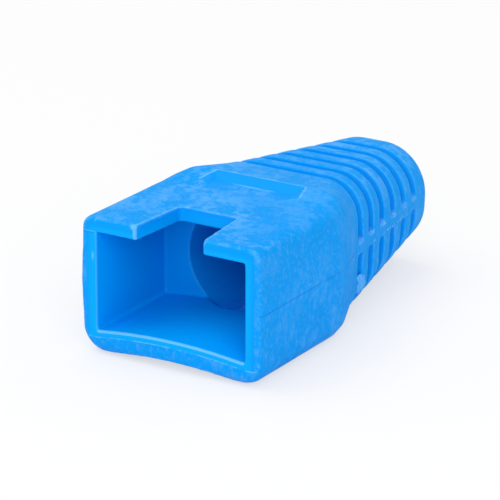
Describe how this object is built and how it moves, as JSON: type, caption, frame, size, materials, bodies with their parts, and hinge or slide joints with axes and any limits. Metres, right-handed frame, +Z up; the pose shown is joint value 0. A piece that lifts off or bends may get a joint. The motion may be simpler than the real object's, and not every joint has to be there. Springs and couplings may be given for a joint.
{
  "type": "rj45 strain relief boot",
  "caption": "Soft moulded cable boot for an 8P8C modular plug: open plug cavity with a latch notch, tapering to a ribbed strain relief tail with a cable bore.",
  "frame": {"origin": "middle of the boot's bounding box in plan, on the plane its underside rests on", "axes": "+Y along the cable, from the plug mouth to the tail; +Z up towards the latch notch; +X to the right when looking into the mouth along +Y"},
  "size_m": [0.0146, 0.0284, 0.0105],
  "materials": {
    "boot": "spark eroded satin outside, smooth on the rim and inside the plug cavity"
  },
  "bodies": {
    "root": {"boot": "boot"}
  },
  "joints": []
}
